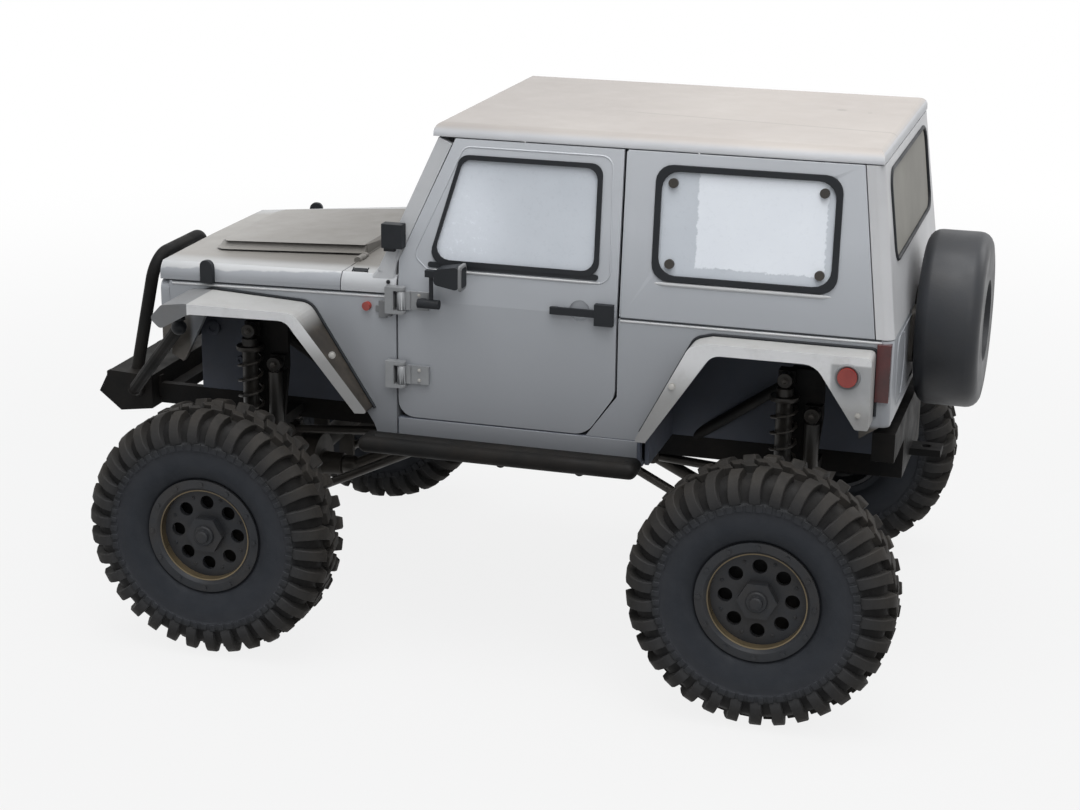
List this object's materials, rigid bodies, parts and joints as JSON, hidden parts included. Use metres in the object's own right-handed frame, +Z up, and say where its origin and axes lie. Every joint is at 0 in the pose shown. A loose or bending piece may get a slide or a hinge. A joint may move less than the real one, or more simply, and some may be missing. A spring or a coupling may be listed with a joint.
{
  "type": "radio-controlled rock crawler",
  "caption": "Radio-controlled scale rock crawler with a hard two-door body, opening doors and hood, steered front wheels, lugged tyres and coil-over suspension.",
  "frame": {"origin": "on the ground, under the middle of the overall length and width", "axes": "+X forward, +Y to the left side, +Z up"},
  "size_m": [0.5084, 0.31, 0.291],
  "materials": {
    "silver_body": "satin silver",
    "pale_trim": "satin pale grey",
    "black_plastic": "matte",
    "silver_pane": "glossy silvery film",
    "chassis_steel": "dusty black",
    "cast_alloy": "dusty dark",
    "motor_can": "brushed",
    "battery_wrap": "shrink wrap",
    "link_steel": "dull",
    "damper_alloy": "anodised dark",
    "spring_steel": "black",
    "dark_tray": "matte navy black",
    "clear_lens": "clear",
    "red_lens": "translucent red",
    "spare_vinyl": "smooth black",
    "tyre_rubber": "dusty charcoal",
    "wheel_grey": "satin dark grey"
  },
  "bodies": {
    "chassis": {"frame_rails": "chassis_steel", "skid_plate": "black_plastic", "gearbox": "cast_alloy", "motor": "motor_can", "battery": "battery_wrap", "shock_towers": "chassis_steel", "front_axle": "cast_alloy", "rear_axle": "cast_alloy", "suspension_links": "link_steel", "dampers": "damper_alloy", "coil_springs": "spring_steel", "side_dampers": "damper_alloy", "driveshafts": "link_steel", "front_bumper": "chassis_steel", "rear_bumper": "chassis_steel", "rock_sliders": "chassis_steel", "floor_pan": "dark_tray", "inner_wells": "dark_tray", "fender_left": "silver_body", "fender_right": "silver_body", "grille": "silver_body", "cowl_frame": "silver_body", "rear_quarter_left": "silver_body", "rear_quarter_right": "silver_body", "tailgate": "silver_body", "roof": "silver_body", "top_side_left": "silver_body", "top_side_right": "silver_body", "tail_frame": "silver_body", "windscreen": "silver_pane", "quarter_windows": "silver_pane", "rear_window": "silver_pane", "front_flares": "pale_trim", "rear_flares": "pale_trim", "headlamps": "clear_lens", "marker_lamps": "red_lens", "light_pods": "black_plastic", "spare_cover": "spare_vinyl", "spare_carrier": "chassis_steel", "window_gaskets": "black_plastic", "window_screws": "link_steel"},
    "hood": {"hood": "silver_body", "hood_latches": "black_plastic"},
    "door_left": {"door_left": "silver_body", "door_window_left": "silver_pane", "door_trim_left": "black_plastic"},
    "door_right": {"door_right": "silver_body", "door_window_right": "silver_pane", "door_trim_right": "black_plastic"},
    "knuckle_left": {"knuckle_left": "cast_alloy"},
    "knuckle_right": {"knuckle_right": "cast_alloy"},
    "tie_rod": {"tie_rod": "link_steel"},
    "wheel_front_left": {"tyre_front_left": "tyre_rubber", "wheel_front_left": "wheel_grey"},
    "wheel_front_right": {"tyre_front_right": "tyre_rubber", "wheel_front_right": "wheel_grey"},
    "wheel_rear_left": {"tyre_rear_left": "tyre_rubber", "wheel_rear_left": "wheel_grey"},
    "wheel_rear_right": {"tyre_rear_right": "tyre_rubber", "wheel_rear_right": "wheel_grey"}
  },
  "joints": [
    {"name": "steer_left", "type": "hinge", "parent": "chassis", "child": "knuckle_left", "pos_m": [0.14075, 0.1, 0.0695], "axis": [0, 0, 1], "range_deg": [-30, 30]},
    {"name": "steer_right", "type": "hinge", "parent": "chassis", "child": "knuckle_right", "pos_m": [0.14075, -0.1, 0.0695], "axis": [0, 0, 1], "range_deg": [-30, 30]},
    {"name": "tie_rod_pivot", "type": "hinge", "parent": "knuckle_left", "child": "tie_rod", "pos_m": [0.16675, 0.1, 0.0755], "axis": [0, 0, 1], "range_deg": [-30, 30]},
    {"name": "spin_front_left", "type": "hinge", "parent": "knuckle_left", "child": "wheel_front_left", "pos_m": [0.14075, 0.133, 0.0695], "axis": [0, 1, 0], "continuous": true},
    {"name": "spin_front_right", "type": "hinge", "parent": "knuckle_right", "child": "wheel_front_right", "pos_m": [0.14075, -0.133, 0.0695], "axis": [0, 1, 0], "continuous": true},
    {"name": "spin_rear_left", "type": "hinge", "parent": "chassis", "child": "wheel_rear_left", "pos_m": [-0.16225, 0.133, 0.0695], "axis": [0, 1, 0], "continuous": true},
    {"name": "spin_rear_right", "type": "hinge", "parent": "chassis", "child": "wheel_rear_right", "pos_m": [-0.16225, -0.133, 0.0695], "axis": [0, 1, 0], "continuous": true},
    {"name": "door_left_hinge", "type": "hinge", "parent": "chassis", "child": "door_left", "pos_m": [0.04425, 0.1008, 0.18], "axis": [0, 0, -1], "range_deg": [0, 65]},
    {"name": "door_right_hinge", "type": "hinge", "parent": "chassis", "child": "door_right", "pos_m": [0.04425, -0.1008, 0.18], "axis": [0, 0, 1], "range_deg": [0, 65]},
    {"name": "hood_hinge", "type": "hinge", "parent": "chassis", "child": "hood", "pos_m": [0.08205, 0, 0.2079], "axis": [0, -1, 0], "range_deg": [0, 60]}
  ],
  "couplings": [
    {"joint": "steer_right", "follows": "steer_left", "ratio": 1},
    {"joint": "tie_rod_pivot", "follows": "steer_left", "ratio": -1}
  ]
}
